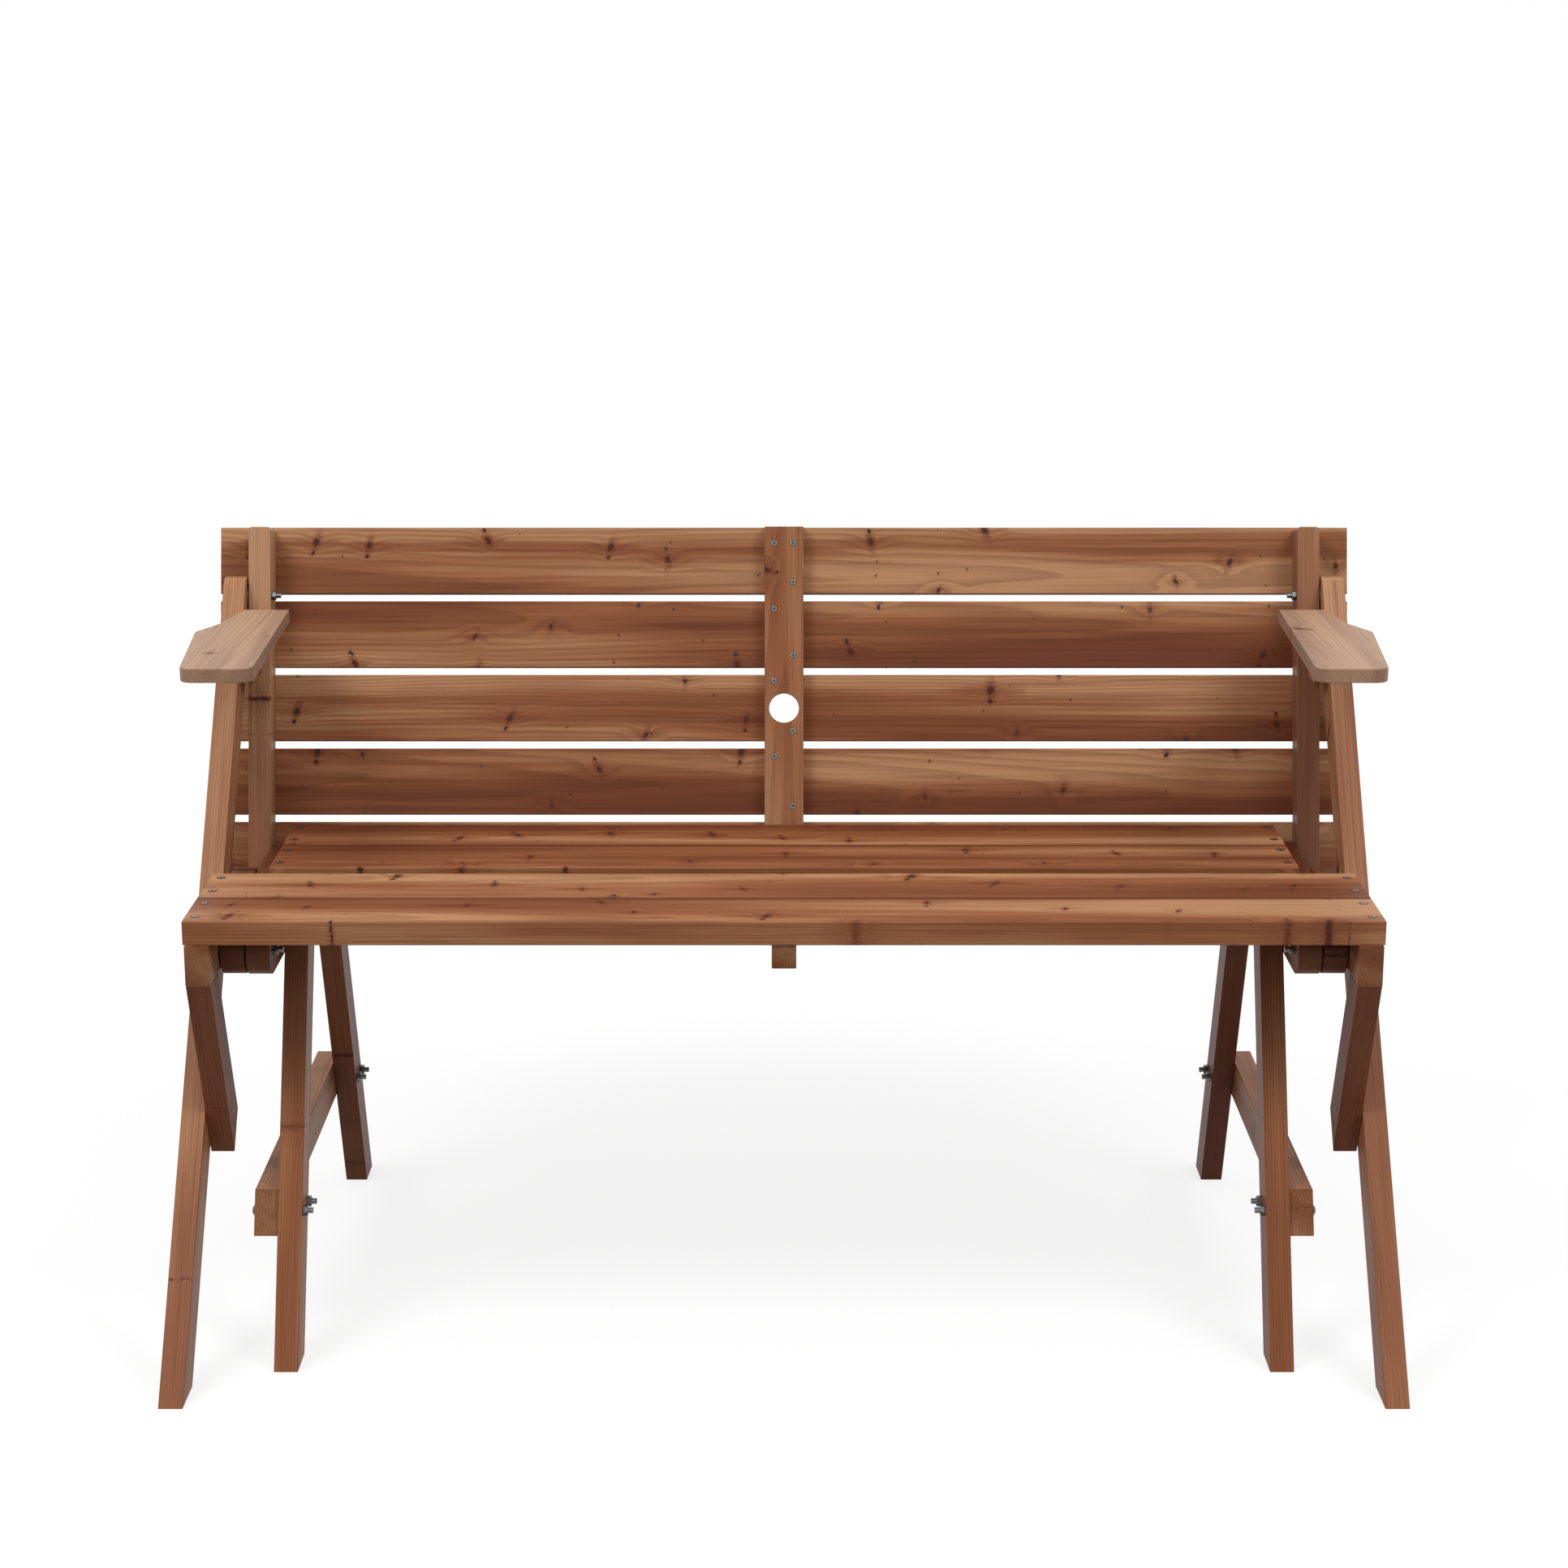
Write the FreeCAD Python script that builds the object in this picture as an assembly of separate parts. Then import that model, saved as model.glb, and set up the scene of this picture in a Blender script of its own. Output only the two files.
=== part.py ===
import FreeCAD, Part
import math
import os

os.makedirs("parts", exist_ok=True)

# Bench that folds over into a picnic table, shown as a bench.
# X runs along the seats, the front is at -Y and Z is up. The origin is on the floor
# under the middle of the bench's box. Sizes are in millimetres, angles in degrees.
# The side boards stand in five layers beside each other, so the frames fold past
# one another: long leg, front rail, swing arm, rear rail, rear leg.

# Overall sizes
SPAN_OVER_LEGS = 1264.0
TABLE_OVERHANG = 11.0        # slats past the long legs
BENCH_DEPTH = 686.0          # toe of the long legs to heel of the rear legs
SEAT_TOP = 476.0             # rear seat

# Boards and the gaps between them
BOARD = 25.0
EDGE_ROUND = 1.2
BATTEN_END_ROUND = 4.0       # top corners of the end battens
MOVING_GAP = 1.5             # between layers that swing past each other
SEAT_LIFT = 1.0              # front seat over the rear rails that it passes

# Lean and hinges
BACK_LEAN = 13.8243
SWING_HINGE_Y = -152.0
HINGE_REACH = 385.0          # level distance between the two hinges

# Long legs, front rails and struts
LEG_WIDTH = 44.0
FRONT_RAIL_FRONT = -226.0
FRONT_RAIL_BACK = 76.0
FRONT_RAIL_HEIGHT = 43.0
STRUT_WIDTH = 43.0
STRUT_LEAN = 23.7
STRUT_PAST_LEG = 5.0

# Front seat
FRONT_SEAT_FRONT = -224.0
FRONT_SEAT_BACK = -40.0
FRONT_SEAT_GAP = 1.5
FRONT_SEAT_SHARE = 85.3 / 182.5   # part of the width that the front board takes
FRONT_SEAT_OVERHANG = 1.5    # past the front rails

# Armrests, across from the leg's outer face and along from the upper hinge
ARMREST_THICKNESS = 15.0
ARMREST_CORNER = 15.0
ARMREST_OVER = 0.76          # end battens come down this far above the armrests
ARMREST_FRONT = -362.4
ARMREST_WIDEST = -163.5
ARMREST_BEND = -116.0
ARMREST_BACK = -33.8
ARMREST_INNER_FRONT = -88.6
ARMREST_OUTER_FRONT = -13.7
ARMREST_OUTER_WIDEST = 6.0
ARMREST_OUTER_BEND = -12.5
ARMREST_OUTER_BACK = -25.2
ARMREST_INNER_BACK = -76.0
CLEAT_FRONT = -80.0
CLEAT_BACK = -34.0
CLEAT_HEIGHT = 58.0
CLEAT_THICKNESS = 17.0

# Rear frame
REAR_RAIL_HEIGHT = 50.0
RAIL_SHORT_OF_SEAT = 5.0     # rear rail ends short of the rear seat's back edge
REAR_LEG_TOE = 88.0          # level distance from the long leg's toe to the rear leg's
REAR_LEG_TOP_DROP = 1.0      # top of the rear legs under the rear seat
FRONT_LEG_TOP_FRONT = -64.0
LEG_TO_SLAT = 5.2            # rear leg's back edge to the lowest slat
STRETCHER_BOTTOM = 127.0
STRETCHER_HEIGHT = 45.0
STRETCHER_INSET_FRONT = 4.5  # its end behind the front leg's front edge
STRETCHER_INSET_BACK = 0.0   # its end before the back leg's back edge
REAR_SEAT_FRONT = -14.0
REAR_SEAT_GAP = 2.0
REAR_SEAT_SHARE = 92.0 / 182.0
SEAT_TO_BATTEN = 13.4        # rear seat's back edge to the table's centre batten
STOP_FRONT = -38.0
STOP_BACK = -19.0
STOP_WIDTH = 10.0
SEAT_BATTEN = 25.0           # batten under each seat, square
SEAT_BATTEN_INSET = 2.0

# Table
SLAT_COUNT = 5
SLAT_GAP = 8.3
SLATS_ABOVE_HINGE = 79.4
SLAT_RISE = 3.1              # lowest slat above the end batten's lower end
BATTEN_TOP_DROP = 2.0
BATTEN_FRONT = 9.0           # end batten in front of the upper hinge
BATTEN_BACK = 27.0           # from the upper hinge back to the slats
CENTRE_BATTEN_WIDTH = 44.4
CENTRE_BATTEN_THICKNESS = 15.0
CENTRE_RELIEF = 3.0          # clearance of its lower end round the rear seat
UMBRELLA_HOLE_RADIUS = 17.0
ARM_HEIGHT = 49.0

# Bolts, nuts and washers
SHANK_RADIUS = 3.0
HOLE_PLAY = 0.08
HEAD_RADIUS = 6.75
HEAD_HEIGHT = 3.3
RECESS_PLAY = 0.6
RECESS_DEPTH = 4.0
HEAD_FLOAT = 0.3             # sunk hinge head off the floor of its recess
NUT_FLATS = 10.0
NUT_HEIGHT = 5.0
TIP_PAST_NUT = 5.5
WASHER_RADIUS = 8.0
WASHER_THICKNESS = 1.3
STRETCHER_BOLT_OFFSET = 13.0
ARM_BOLT_OFFSETS = (11.0, -11.0)
NUT_RECESS_DEPTH = 8.0       # sunk nuts of the arm bolts, on the arm's inner face
SUNK_TIP_PAST_NUT = 2.0

# Layers: the outer face of each, from the middle of the bench
LEG_OUT = SPAN_OVER_LEGS / 2
RAIL_OUT = LEG_OUT - BOARD
BATTEN_OUT = RAIL_OUT - MOVING_GAP
ARM_OUT = BATTEN_OUT - BOARD
REAR_RAIL_OUT = ARM_OUT - BOARD - MOVING_GAP
REAR_LEG_OUT = REAR_RAIL_OUT - BOARD
REAR_LEG_IN = REAR_LEG_OUT - BOARD
TABLE_HALF = LEG_OUT + TABLE_OVERHANG

# Hinges. Turning the table from its lean to level brings the upper hinge back to
# the same height, which fixes the slope between the two hinges.
LEAN = math.radians(BACK_LEAN)
SEAT_UNDER = SEAT_TOP - BOARD
SWING_HINGE_Z = SEAT_UNDER - REAR_RAIL_HEIGHT / 2
HINGE_Y = SWING_HINGE_Y + HINGE_REACH
HINGE_Z = SWING_HINGE_Z + HINGE_REACH * math.tan((math.pi / 2 - LEAN) / 2)

# Long leg: its front edge runs from the toe, half the leg's width from the hinge
TOE_Y = -BENCH_DEPTH / 2
TOE_TO_HINGE = math.hypot(HINGE_Y - TOE_Y, HINGE_Z)
LONG_LEAN = math.atan2(HINGE_Y - TOE_Y, HINGE_Z) - math.asin(LEG_WIDTH / 2 / TOE_TO_HINGE)
LONG_LEVEL_WIDTH = LEG_WIDTH / math.cos(LONG_LEAN)

FRONT_SEAT_UNDER = SEAT_UNDER + SEAT_LIFT
ARMREST_TOP = HINGE_Z - BATTEN_FRONT - ARMREST_OVER
ARM_BOTTOM = SWING_HINGE_Z - ARM_HEIGHT / 2
BATTEN_LOW = (ARM_BOTTOM - HINGE_Z) / math.cos(LEAN)
SLATS_LOW = BATTEN_LOW + SLAT_RISE
SLAT_PITCH = (SLATS_ABOVE_HINGE - SLATS_LOW + SLAT_GAP) / SLAT_COUNT
SLAT_WIDTH = SLAT_PITCH - SLAT_GAP
HOLE_RADIUS = SHANK_RADIUS + HOLE_PLAY


def table_point(up, back):
    """(y, z) of a table point: up along the backrest from the hinge, and back from it."""
    y = HINGE_Y + up * math.sin(LEAN) + back * math.cos(LEAN)
    z = HINGE_Z + up * math.cos(LEAN) - back * math.sin(LEAN)
    return y, z


def table_y(z, back):
    """y where the table plane that lies back from the hinge passes the height z."""
    up = (z - HINGE_Z + back * math.sin(LEAN)) / math.cos(LEAN)
    return table_point(up, back)[0]


CENTRE_BATTEN_FRONT = BATTEN_BACK - CENTRE_BATTEN_THICKNESS
REAR_SEAT_BACK = table_y(SEAT_TOP, CENTRE_BATTEN_FRONT) - SEAT_TO_BATTEN
REAR_RAIL_BACK = REAR_SEAT_BACK - RAIL_SHORT_OF_SEAT
REAR_LEG_TOP = SEAT_UNDER - REAR_LEG_TOP_DROP
FRONT_LEG_TOE = TOE_Y + REAR_LEG_TOE
FRONT_LEG_LEAN = math.atan2(FRONT_LEG_TOP_FRONT - FRONT_LEG_TOE, REAR_LEG_TOP)
BACK_LEG_HEEL = BENCH_DEPTH / 2

# Back rear leg: its back edge runs from the heel, just clear of the lowest slat's lower corner
CORNER_Y, CORNER_Z = table_point(SLATS_LOW, BATTEN_BACK)
HEEL_TO_CORNER = math.hypot(BACK_LEG_HEEL - CORNER_Y, CORNER_Z)
BACK_LEG_LEAN = math.atan2(BACK_LEG_HEEL - CORNER_Y, CORNER_Z) + math.asin(LEG_TO_SLAT / HEEL_TO_CORNER)


def outline(points, x):
    """Closed outline in the plane X = x. A point with a third value is passed on an arc."""
    start = FreeCAD.Vector(x, points[0][0], points[0][1])
    edges = []
    through = None
    for point in points[1:] + points[:1]:
        here = FreeCAD.Vector(x, point[0], point[1])
        if len(point) == 3:
            through = here
            continue
        if through is None:
            edges.append(Part.LineSegment(start, here).toShape())
        else:
            edges.append(Part.Arc(start, through, here).toShape())
        start = here
        through = None
    return Part.Wire(edges)


def runs_along(edge, direction):
    if not isinstance(edge.Curve, Part.Line):
        return False
    run = edge.Vertexes[1].Point.sub(edge.Vertexes[0].Point).normalize()
    return abs(run.dot(direction)) > 0.9999


def round_along(solid, direction):
    """Round the long edges of a board. Edges that carry on smoothly are rounded with them."""
    edges = [edge for edge in solid.Edges if runs_along(edge, direction)]
    return solid.makeFillet(EDGE_ROUND, edges)


def prism(points, x0, x1):
    return Part.Face(outline(points, x0)).extrude(FreeCAD.Vector(x1 - x0, 0, 0))


def side_board(points, outer, direction):
    """Board of the right-hand side, from its outline and its outer face."""
    return round_along(prism(points, outer - BOARD, outer), direction)


def upward(lean):
    return FreeCAD.Vector(0, math.sin(lean), math.cos(lean))


def rectangle(y0, y1, z0, z1):
    return [(y0, z0), (y1, z0), (y1, z1), (y0, z1)]


def seat_board(half, y0, y1, z0):
    board = prism(rectangle(y0, y1, z0, z0 + BOARD), -half, half)
    return round_along(board, FreeCAD.Vector(1, 0, 0))


def cylinder(radius, x0, x1, y, z):
    return Part.makeCylinder(radius, x1 - x0, FreeCAD.Vector(x0, y, z), FreeCAD.Vector(1, 0, 0))


def drill(board, places):
    """Bolt holes right across a side board."""
    for y, z in places:
        board = board.cut(cylinder(HOLE_RADIUS, 0, LEG_OUT + BOARD, y, z))
    return board


def sink(board, places, x0, x1):
    """Round recesses for bolt heads."""
    for y, z in places:
        board = board.cut(cylinder(HEAD_RADIUS + RECESS_PLAY, x0, x1, y, z))
    return board


def mirrored(solid):
    return solid.mirror(FreeCAD.Vector(0, 0, 0), FreeCAD.Vector(1, 0, 0))


def save(node, shape):
    shape.exportStep("parts/" + node + ".step")


def save_both(node, solid):
    save(node + "_right", solid)
    save(node + "_left", mirrored(solid))


def save_group(node, solids):
    save(node, Part.makeCompound(solids + [mirrored(solid) for solid in solids]))


# Front frame


def long_edge(z):
    """y of the long leg's front edge at the height z."""
    return TOE_Y + z * math.tan(LONG_LEAN)


def long_leg():
    half = LEG_WIDTH / 2
    across = half * math.cos(LONG_LEAN)
    rise = half * math.sin(LONG_LEAN)
    points = [
        (TOE_Y, 0),
        (TOE_Y + LONG_LEVEL_WIDTH, 0),
        (HINGE_Y + across, HINGE_Z - rise),
        (HINGE_Y + rise, HINGE_Z + across, "arc"),
        (HINGE_Y - across, HINGE_Z + rise),
    ]
    leg = side_board(points, LEG_OUT, upward(LONG_LEAN))
    return drill(leg, [(HINGE_Y, HINGE_Z)])


def front_rail():
    points = rectangle(
        FRONT_RAIL_FRONT, FRONT_RAIL_BACK, FRONT_SEAT_UNDER - FRONT_RAIL_HEIGHT, FRONT_SEAT_UNDER
    )
    return side_board(points, RAIL_OUT, FreeCAD.Vector(0, 1, 0))


def strut_corner(top_y, top_z):
    """Where a strut edge that starts at (top_y, top_z) meets the end cut past the long leg."""
    slope = math.tan(math.radians(STRUT_LEAN))
    cut = LONG_LEVEL_WIDTH + STRUT_PAST_LEG / math.cos(LONG_LEAN)
    drop = (long_edge(top_z) + cut - top_y) / (slope + math.tan(LONG_LEAN))
    return top_y + drop * slope, top_z - drop


def strut():
    top_z = FRONT_SEAT_UNDER - FRONT_RAIL_HEIGHT
    back_y = FRONT_RAIL_FRONT + STRUT_WIDTH / math.cos(math.radians(STRUT_LEAN))
    points = [
        (FRONT_RAIL_FRONT, top_z),
        strut_corner(FRONT_RAIL_FRONT, top_z),
        strut_corner(back_y, top_z),
        (back_y, top_z),
    ]
    return side_board(points, RAIL_OUT, upward(-math.radians(STRUT_LEAN)))


def armrest(leg):
    z = ARMREST_TOP - ARMREST_THICKNESS
    corners = [
        (ARMREST_INNER_FRONT, ARMREST_FRONT),
        (ARMREST_OUTER_FRONT, ARMREST_FRONT),
        (ARMREST_OUTER_WIDEST, ARMREST_WIDEST),
        (ARMREST_OUTER_BEND, ARMREST_BEND),
        (ARMREST_OUTER_BACK, ARMREST_BACK),
        (ARMREST_INNER_BACK, ARMREST_BACK),
    ]
    ring = [FreeCAD.Vector(LEG_OUT + across, HINGE_Y + along, z) for across, along in corners]
    plate = Part.Face(Part.makePolygon(ring + ring[:1])).extrude(FreeCAD.Vector(0, 0, ARMREST_THICKNESS))
    upright = FreeCAD.Vector(0, 0, 1)
    front_y = HINGE_Y + ARMREST_FRONT
    front = [e for e in plate.Edges if runs_along(e, upright) and e.CenterOfMass.y < front_y + 1]
    plate = plate.makeFillet(ARMREST_CORNER, front)
    rim = [e for e in plate.Edges if not runs_along(e, upright)]
    return plate.makeFillet(EDGE_ROUND, rim).cut(leg)


def armrest_cleat():
    top = ARMREST_TOP - ARMREST_THICKNESS
    points = rectangle(HINGE_Y + CLEAT_FRONT, HINGE_Y + CLEAT_BACK, top - CLEAT_HEIGHT, top)
    cleat = prism(points, RAIL_OUT - CLEAT_THICKNESS, RAIL_OUT)
    return round_along(cleat, FreeCAD.Vector(0, 0, 1))


def seat_batten(front, back, top):
    points = rectangle(front + SEAT_BATTEN_INSET, back - SEAT_BATTEN_INSET, top - SEAT_BATTEN, top)
    batten = prism(points, -SEAT_BATTEN / 2, SEAT_BATTEN / 2)
    return round_along(batten, FreeCAD.Vector(0, 1, 0))


def save_seat(name, half, front, back, gap, share, under):
    """Two boards side by side and the batten that ties them together."""
    joint = front + (back - front - gap) * share
    save(name + "_board_front", seat_board(half, front, joint, under))
    save(name + "_board_back", seat_board(half, joint + gap, back, under))
    save(name + "_batten", seat_batten(front, back, under))


# Rear frame


def leg_middle(toe, lean, z):
    """y of a rear leg's centre line at the height z."""
    return toe + LEG_WIDTH / math.cos(lean) / 2 + z * math.tan(lean)


def front_leg_middle(z):
    return leg_middle(FRONT_LEG_TOE, FRONT_LEG_LEAN, z)


def back_leg_middle(z):
    toe = BACK_LEG_HEEL - LEG_WIDTH / math.cos(BACK_LEG_LEAN)
    return leg_middle(toe, -BACK_LEG_LEAN, z)


def stretcher_bolt_places(middle):
    z = STRETCHER_BOTTOM + STRETCHER_HEIGHT / 2
    return [(middle(z) + offset, z) for offset in (-STRETCHER_BOLT_OFFSET, STRETCHER_BOLT_OFFSET)]


def rail_bolt_place(middle):
    return middle(SWING_HINGE_Z), SWING_HINGE_Z


def rear_leg(middle, lean):
    half = LEG_WIDTH / math.cos(lean) / 2
    points = [
        (middle(0) - half, 0),
        (middle(0) + half, 0),
        (middle(REAR_LEG_TOP) + half, REAR_LEG_TOP),
        (middle(REAR_LEG_TOP) - half, REAR_LEG_TOP),
    ]
    leg = side_board(points, REAR_LEG_OUT, upward(lean))
    return drill(leg, stretcher_bolt_places(middle) + [rail_bolt_place(middle)])


def rear_rail():
    radius = REAR_RAIL_HEIGHT / 2
    points = [
        (SWING_HINGE_Y, SWING_HINGE_Z - radius),
        (REAR_RAIL_BACK, SWING_HINGE_Z - radius),
        (REAR_RAIL_BACK, SWING_HINGE_Z + radius),
        (SWING_HINGE_Y, SWING_HINGE_Z + radius),
        (SWING_HINGE_Y - radius, SWING_HINGE_Z, "arc"),
    ]
    rail = side_board(points, REAR_RAIL_OUT, FreeCAD.Vector(0, 1, 0))
    sunk = [rail_bolt_place(front_leg_middle), rail_bolt_place(back_leg_middle)]
    rail = drill(rail, sunk + [(SWING_HINGE_Y, SWING_HINGE_Z)])
    return sink(rail, sunk, REAR_RAIL_OUT - RECESS_DEPTH, REAR_RAIL_OUT + BOARD)


def stretcher():
    """Its ends are cut parallel to the legs."""
    bottom = STRETCHER_BOTTOM
    top = STRETCHER_BOTTOM + STRETCHER_HEIGHT
    from_front = STRETCHER_INSET_FRONT - LEG_WIDTH / math.cos(FRONT_LEG_LEAN) / 2
    from_back = LEG_WIDTH / math.cos(BACK_LEG_LEAN) / 2 - STRETCHER_INSET_BACK
    points = [
        (front_leg_middle(bottom) + from_front, bottom),
        (back_leg_middle(bottom) + from_back, bottom),
        (back_leg_middle(top) + from_back, top),
        (front_leg_middle(top) + from_front, top),
    ]
    board = side_board(points, REAR_RAIL_OUT, FreeCAD.Vector(0, 1, 0))
    places = stretcher_bolt_places(front_leg_middle) + stretcher_bolt_places(back_leg_middle)
    return drill(board, places)


def seat_stop():
    """Block on top of the rear rail, between the two seats."""
    middle = REAR_RAIL_OUT - BOARD / 2
    points = rectangle(STOP_FRONT, STOP_BACK, SEAT_UNDER, SEAT_TOP)
    block = prism(points, middle - STOP_WIDTH / 2, middle + STOP_WIDTH / 2)
    return round_along(block, FreeCAD.Vector(0, 0, 1))


# Table


def table_board(low, high, front, back, x0, x1):
    """Board between two places along the backrest and two planes behind the hinge."""
    points = [
        table_point(low, front),
        table_point(low, back),
        table_point(high, back),
        table_point(high, front),
    ]
    return prism(points, x0, x1)


def arm_bolt_places():
    middle = (BATTEN_BACK - BATTEN_FRONT) / 2
    heights = [SWING_HINGE_Z + offset for offset in ARM_BOLT_OFFSETS]
    return [(table_y(z, middle), z) for z in heights]


def end_batten():
    batten = table_board(
        BATTEN_LOW, SLATS_ABOVE_HINGE - BATTEN_TOP_DROP, -BATTEN_FRONT, BATTEN_BACK, ARM_OUT, BATTEN_OUT
    )
    top = table_point(SLATS_ABOVE_HINGE - BATTEN_TOP_DROP, 0)[1]
    back = FreeCAD.Vector(0, math.cos(LEAN), -math.sin(LEAN))
    corners = [e for e in batten.Edges if runs_along(e, back) and e.CenterOfMass.z > top - BATTEN_BACK]
    batten = round_along(batten.makeFillet(BATTEN_END_ROUND, corners), upward(LEAN))
    batten = drill(batten, [(HINGE_Y, HINGE_Z)] + arm_bolt_places())
    return sink(batten, arm_bolt_places(), BATTEN_OUT - RECESS_DEPTH, BATTEN_OUT + BOARD)


def umbrella_hole():
    middle_up = SLATS_ABOVE_HINGE - (SLAT_COUNT // 2) * SLAT_PITCH - SLAT_WIDTH / 2
    y, z = table_point(middle_up, 0)
    away = FreeCAD.Vector(0, math.cos(LEAN), -math.sin(LEAN))
    return Part.makeCylinder(UMBRELLA_HOLE_RADIUS, 4 * BOARD, FreeCAD.Vector(0, y, z), away)


def slat(index):
    high = SLATS_ABOVE_HINGE - index * SLAT_PITCH
    board = table_board(
        high - SLAT_WIDTH, high, BATTEN_BACK, BATTEN_BACK + BOARD, -TABLE_HALF, TABLE_HALF
    )
    board = round_along(board, FreeCAD.Vector(1, 0, 0))
    if index == SLAT_COUNT // 2:
        board = board.cut(umbrella_hole())
    return board


def centre_batten():
    """Its lower end is relieved on an arc round the swing hinge, to pass the rear seat."""
    half = CENTRE_BATTEN_WIDTH / 2
    batten = table_board(BATTEN_LOW, SLATS_ABOVE_HINGE, CENTRE_BATTEN_FRONT, BATTEN_BACK, -half, half)
    batten = round_along(batten, upward(LEAN))
    corner = math.hypot(REAR_SEAT_BACK - SWING_HINGE_Y, SEAT_TOP - SWING_HINGE_Z)
    sweep = cylinder(corner + CENTRE_RELIEF, -2 * half, 2 * half, SWING_HINGE_Y, SWING_HINGE_Z)
    return batten.cut(sweep).cut(umbrella_hole())


def swing_arm():
    top = SWING_HINGE_Z + ARM_HEIGHT / 2
    points = [
        (SWING_HINGE_Y, ARM_BOTTOM),
        (table_y(ARM_BOTTOM, BATTEN_BACK), ARM_BOTTOM),
        (table_y(top, BATTEN_BACK), top),
        (SWING_HINGE_Y, top),
        (SWING_HINGE_Y - ARM_HEIGHT / 2, SWING_HINGE_Z, "arc"),
    ]
    arm = side_board(points, ARM_OUT, FreeCAD.Vector(0, 1, 0))
    hinge = [(SWING_HINGE_Y, SWING_HINGE_Z)]
    arm = drill(arm, hinge + arm_bolt_places())
    arm = sink(arm, hinge, ARM_OUT - RECESS_DEPTH, ARM_OUT + BOARD)
    inner = ARM_OUT - BOARD
    return sink(arm, arm_bolt_places(), inner - BOARD, inner + NUT_RECESS_DEPTH)


# Bolts, nuts and washers. Outwards is away from the middle of the bench.


def bolt(seat, tip, y, z):
    """Domed bolt from the face its head sits on to its tip, either way along X."""
    shank = cylinder(SHANK_RADIUS, min(seat, tip), max(seat, tip), y, z)
    way = 1 if seat > tip else -1
    ball = (HEAD_RADIUS ** 2 + HEAD_HEIGHT ** 2) / (2 * HEAD_HEIGHT)
    centre = seat + way * (HEAD_HEIGHT - ball)
    dome = Part.makeSphere(ball, FreeCAD.Vector(centre, y, z))
    end = seat + way * 2 * HEAD_HEIGHT
    slab = cylinder(HEAD_RADIUS + 1, min(seat, end), max(seat, end), y, z)
    return shank.fuse(dome.common(slab)).removeSplitter()


def nut(x0, y, z):
    """Hexagon nut that takes up NUT_HEIGHT outwards from x0."""
    corner = NUT_FLATS / 2 / math.cos(math.pi / 6)
    points = []
    for index in range(6):
        turn = math.radians(60 * index)
        points.append((y + corner * math.cos(turn), z + corner * math.sin(turn)))
    return drill(prism(points, x0, x0 + NUT_HEIGHT), [(y, z)])


def washer(x0, y, z):
    return drill(cylinder(WASHER_RADIUS, x0, x0 + WASHER_THICKNESS, y, z), [(y, z)])


def save_bolts(name, head_seat, nut_seat, places, past_nut=TIP_PAST_NUT):
    """Bolts and their nuts. The nut stands away from the head, off the face it sits on."""
    way = 1 if nut_seat > head_seat else -1
    tip = nut_seat + way * (NUT_HEIGHT + past_nut)
    nut_start = nut_seat if way == 1 else nut_seat - NUT_HEIGHT
    save_group(name + "_bolts", [bolt(head_seat, tip, y, z) for y, z in places])
    save_group(name + "_nuts", [nut(nut_start, y, z) for y, z in places])


def save_front_frame():
    leg = long_leg()
    save_both("long_leg", leg)
    save_both("front_rail", front_rail())
    save_both("strut", strut())
    save_both("armrest", armrest(leg))
    save_both("armrest_cleat", armrest_cleat())
    save_seat(
        "front_seat", RAIL_OUT + FRONT_SEAT_OVERHANG, FRONT_SEAT_FRONT, FRONT_SEAT_BACK,
        FRONT_SEAT_GAP, FRONT_SEAT_SHARE, FRONT_SEAT_UNDER,
    )
    save_bolts("upper_hinge", LEG_OUT, ARM_OUT, [(HINGE_Y, HINGE_Z)])
    save_group("upper_hinge_washers", [washer(RAIL_OUT - WASHER_THICKNESS, HINGE_Y, HINGE_Z)])


def save_rear_frame():
    save_both("rear_rail", rear_rail())
    save_both("rear_leg_front", rear_leg(front_leg_middle, FRONT_LEG_LEAN))
    save_both("rear_leg_back", rear_leg(back_leg_middle, -BACK_LEG_LEAN))
    save_both("stretcher", stretcher())
    save_both("seat_stop", seat_stop())
    save_seat(
        "rear_seat", REAR_RAIL_OUT, REAR_SEAT_FRONT, REAR_SEAT_BACK,
        REAR_SEAT_GAP, REAR_SEAT_SHARE, SEAT_UNDER,
    )
    hinge = [(SWING_HINGE_Y, SWING_HINGE_Z)]
    save_bolts("swing_hinge", ARM_OUT - RECESS_DEPTH + HEAD_FLOAT, REAR_LEG_OUT, hinge)
    save_group("swing_hinge_washers", [washer(REAR_RAIL_OUT, SWING_HINGE_Y, SWING_HINGE_Z)])
    places = stretcher_bolt_places(front_leg_middle) + stretcher_bolt_places(back_leg_middle)
    save_bolts("stretcher", REAR_RAIL_OUT, REAR_LEG_IN, places)
    places = [rail_bolt_place(front_leg_middle), rail_bolt_place(back_leg_middle)]
    save_bolts("rear_rail", REAR_RAIL_OUT - RECESS_DEPTH, REAR_LEG_IN, places)


def save_table():
    for index in range(SLAT_COUNT):
        save("slat_%d" % (index + 1), slat(index))
    save_both("end_batten", end_batten())
    save("centre_batten", centre_batten())
    save_both("swing_arm", swing_arm())
    save_bolts(
        "swing_arm", BATTEN_OUT - RECESS_DEPTH, ARM_OUT - BOARD + NUT_RECESS_DEPTH,
        arm_bolt_places(), SUNK_TIP_PAST_NUT,
    )


save_front_frame()
save_rear_frame()
save_table()
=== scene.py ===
# %% [markdown]
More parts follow.
